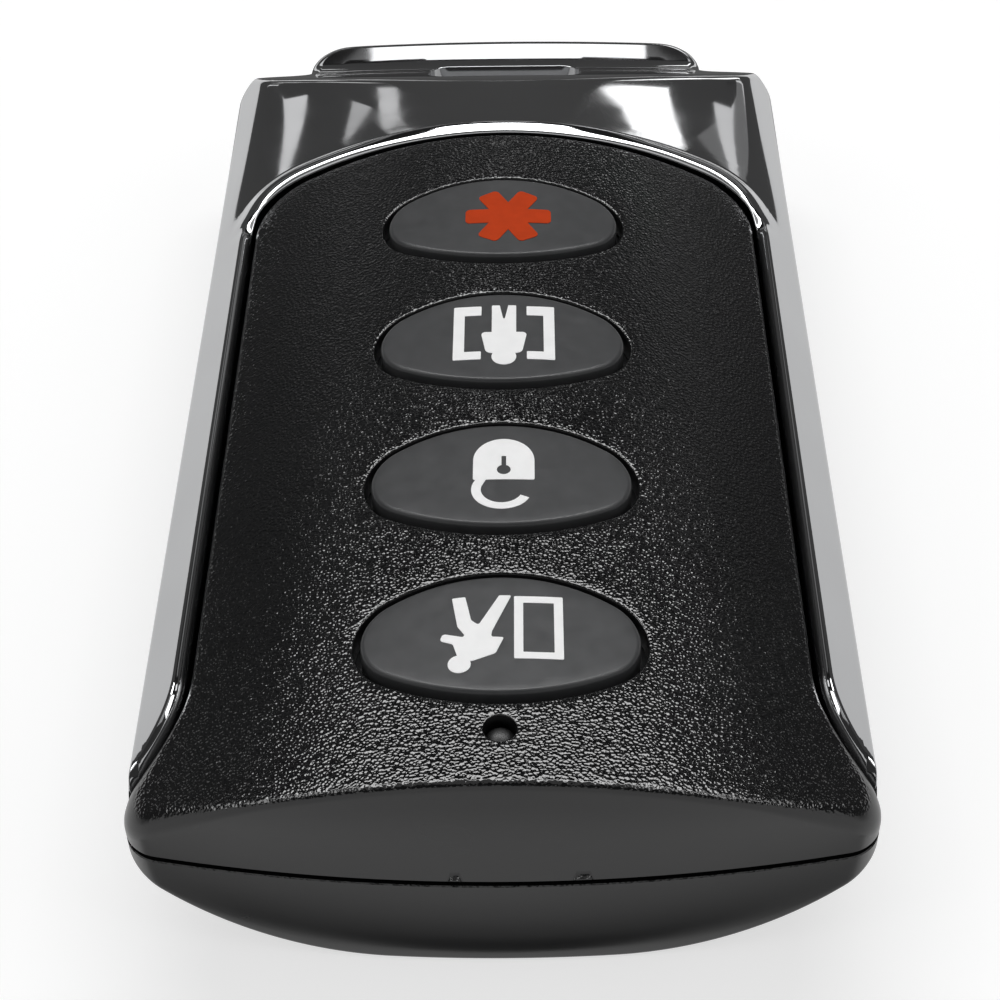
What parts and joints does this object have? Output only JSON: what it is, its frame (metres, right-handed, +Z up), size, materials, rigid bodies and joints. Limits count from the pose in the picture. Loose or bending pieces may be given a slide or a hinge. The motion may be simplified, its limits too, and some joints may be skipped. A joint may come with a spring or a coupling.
{
  "type": "alarm key fob",
  "caption": "Hand-held wireless alarm remote: black two-part case with oval sprung keys, chrome side rails and a key-ring lug.",
  "frame": {"origin": "middle of the case's box, on the flat that it rests on", "axes": "+Y along the case towards the key-ring lug, +Z up through the keys, +X to the right seen from above with the lug away from the viewer"},
  "size_m": [0.033, 0.065, 0.0128],
  "materials": {
    "case_black": "fine leather grain, satin",
    "trim_chrome": "bright chrome plating on plastic",
    "key_grey": "satin moulded",
    "legend_white": "pad-printed ink",
    "legend_red": "pad-printed ink",
    "silicone": "soft silicone",
    "clear_plastic": "clear moulded",
    "board_green": "solder mask",
    "led_body": "moulded",
    "chip_black": "moulded",
    "can_metal": "nickel plated",
    "antenna_copper": "enamelled copper wire",
    "capacitor_tan": "fired ceramic",
    "cell_steel": "nickel plated",
    "gasket_black": "moulded",
    "contact_steel": "spring sheet",
    "plunger_red": "moulded"
  },
  "bodies": {
    "case": {"front_cover": "case_black", "rear_cover": "case_black", "trim_frame": "trim_chrome", "keypad_web": "silicone", "light_pipe": "clear_plastic", "circuit_board": "board_green", "status_led": "led_body", "controller_chip": "chip_black", "transmitter_chip": "chip_black", "saw_resonator": "can_metal", "clock_crystal": "can_metal", "loop_antenna": "antenna_copper", "chip_capacitors": "capacitor_tan", "chip_resistors": "chip_black", "cell_can": "cell_steel", "cell_gasket": "gasket_black", "cell_cap": "cell_steel", "positive_contact": "contact_steel", "negative_contact": "contact_steel", "arm_switch_base": "chip_black", "arm_switch_dome": "contact_steel", "arm_switch_plate": "contact_steel", "disarm_switch_base": "chip_black", "disarm_switch_dome": "contact_steel", "disarm_switch_plate": "contact_steel", "stay_switch_base": "chip_black", "stay_switch_dome": "contact_steel", "stay_switch_plate": "contact_steel", "panic_switch_base": "chip_black", "panic_switch_dome": "contact_steel", "panic_switch_plate": "contact_steel"},
    "arm_button": {"arm_key": "key_grey", "arm_switch_plunger": "plunger_red"},
    "disarm_button": {"disarm_key": "key_grey", "disarm_switch_plunger": "plunger_red"},
    "stay_button": {"stay_key": "key_grey", "stay_switch_plunger": "plunger_red"},
    "panic_button": {"panic_key": "key_grey", "panic_switch_plunger": "plunger_red"}
  },
  "joints": [
    {"name": "arm_press", "type": "slide", "parent": "case", "child": "arm_button", "axis": [0, 0, -1], "range_m": [0, 0.0004], "stiffness_N_per_m": 4000, "springref_m": -0.0002, "deforming": ["arm_switch_dome"]},
    {"name": "disarm_press", "type": "slide", "parent": "case", "child": "disarm_button", "axis": [0, 0, -1], "range_m": [0, 0.0004], "stiffness_N_per_m": 4000, "springref_m": -0.0002, "deforming": ["disarm_switch_dome"]},
    {"name": "stay_press", "type": "slide", "parent": "case", "child": "stay_button", "axis": [0, 0, -1], "range_m": [0, 0.0004], "stiffness_N_per_m": 4000, "springref_m": -0.0002, "deforming": ["stay_switch_dome"]},
    {"name": "panic_press", "type": "slide", "parent": "case", "child": "panic_button", "axis": [0, 0, -1], "range_m": [0, 0.0004], "stiffness_N_per_m": 4000, "springref_m": -0.0002, "deforming": ["panic_switch_dome"]}
  ]
}
